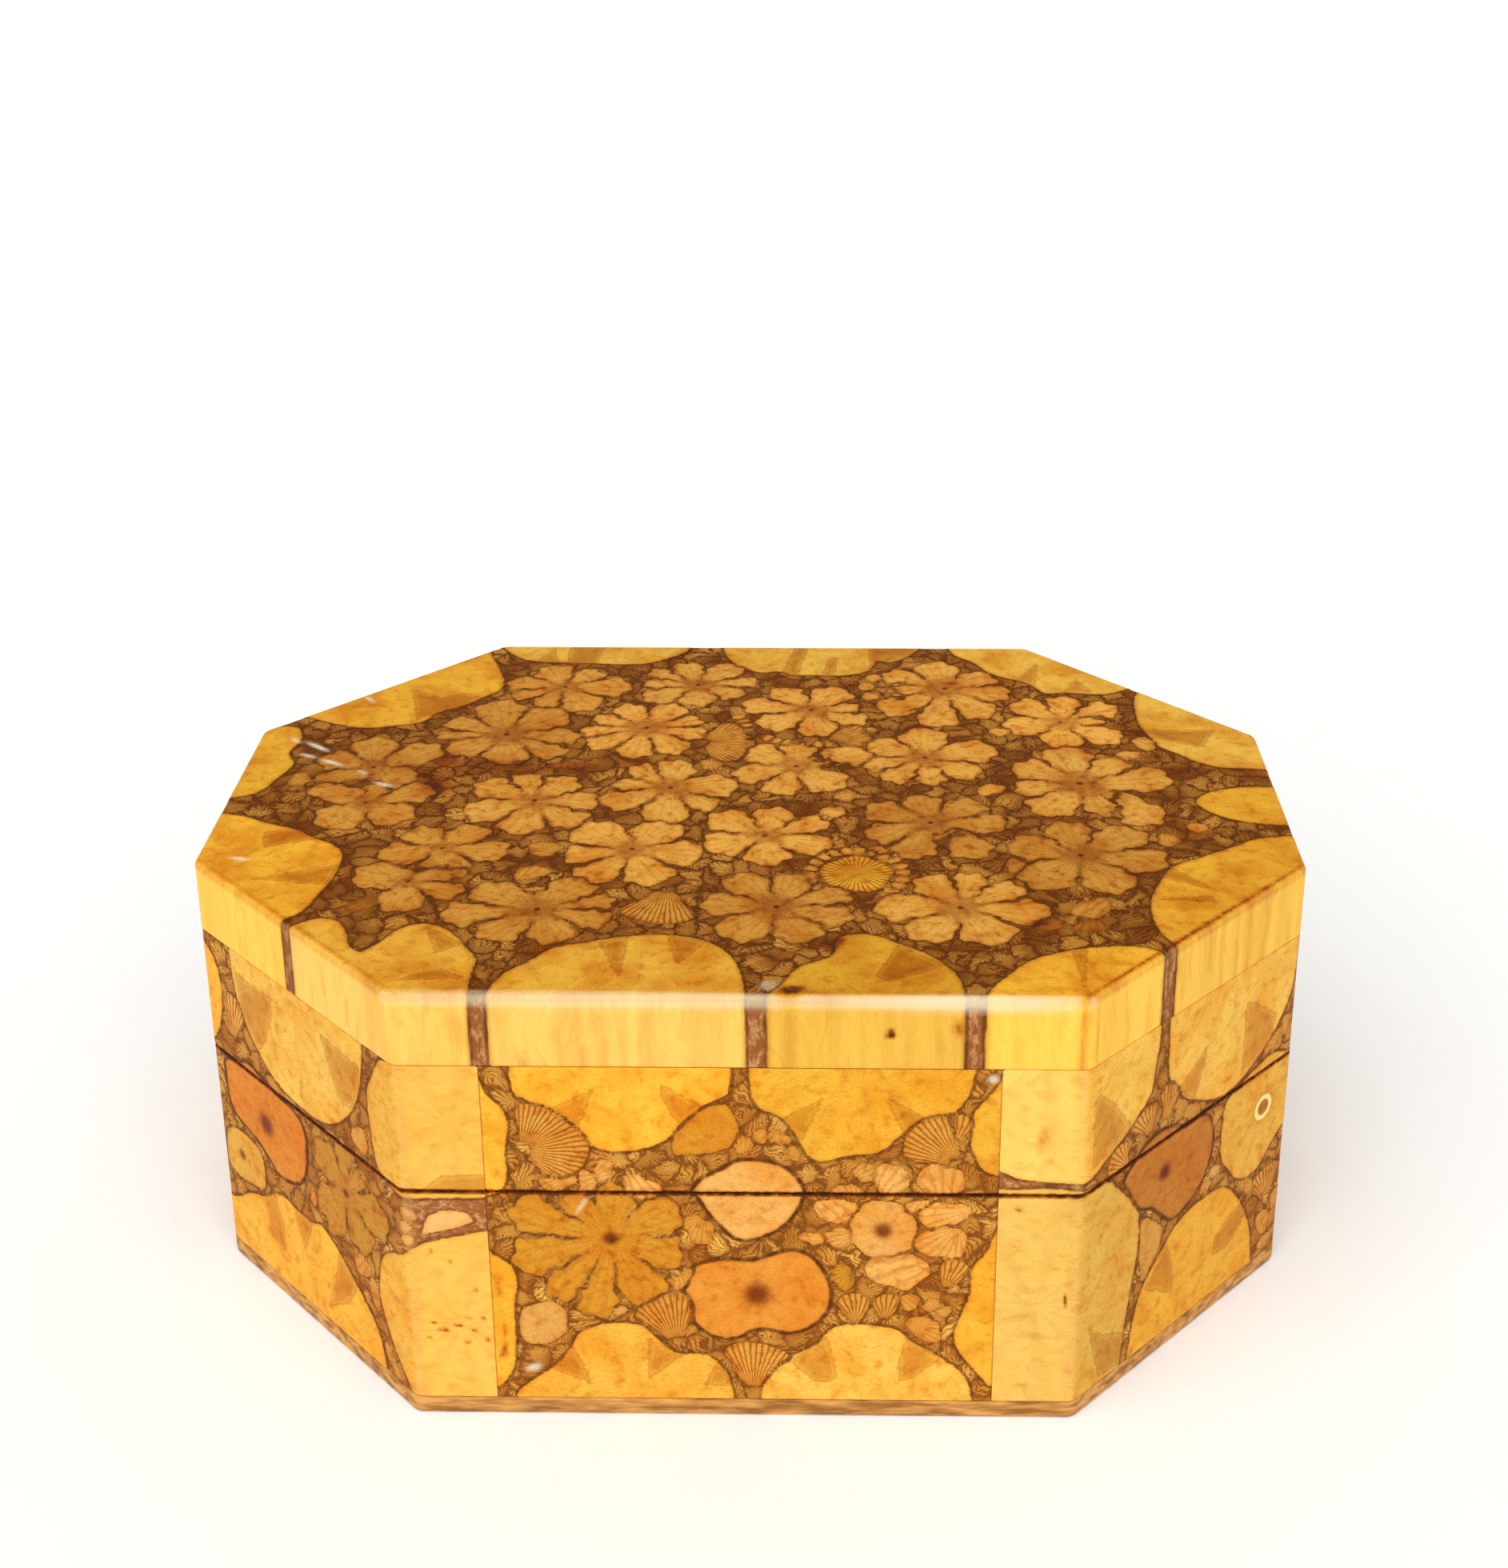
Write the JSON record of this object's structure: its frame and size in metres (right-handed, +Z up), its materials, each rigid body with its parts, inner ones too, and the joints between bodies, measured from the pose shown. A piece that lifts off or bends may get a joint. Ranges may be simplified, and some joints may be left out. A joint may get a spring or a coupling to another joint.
{
  "type": "trinket box",
  "caption": "Octagonal wooden trinket box with a deep lift-off lid, glued up from sawn slabs that show a mosaic of vine-stem end grain.",
  "frame": {"origin": "centre of the underside of the base board, where the box stands", "axes": "+X along the box's length, -Y out of the front face that the picture shows, +Z up through the lid"},
  "size_m": [0.15, 0.104, 0.0641],
  "materials": {
    "top_slab": "lacquered end-grain slices of vine stem in dark brown filler, glossy and a little worn",
    "wall_slab": "lacquered golden end-grain slices of vine stem in brown filler, satin gloss",
    "base_board": "thin brown board, satin, edge worn round"
  },
  "bodies": {
    "root": {"base_board": "base_board", "base_wall_front": "wall_slab", "base_wall_back": "wall_slab", "base_wall_left": "wall_slab", "base_wall_right": "wall_slab", "base_wall_front_left": "wall_slab", "base_wall_front_right": "wall_slab", "base_wall_back_left": "wall_slab", "base_wall_back_right": "wall_slab", "lid_wall_front": "wall_slab", "lid_wall_back": "wall_slab", "lid_wall_left": "wall_slab", "lid_wall_right": "wall_slab", "lid_wall_front_left": "wall_slab", "lid_wall_front_right": "wall_slab", "lid_wall_back_left": "wall_slab", "lid_wall_back_right": "wall_slab", "lid_top": "top_slab"}
  },
  "joints": []
}
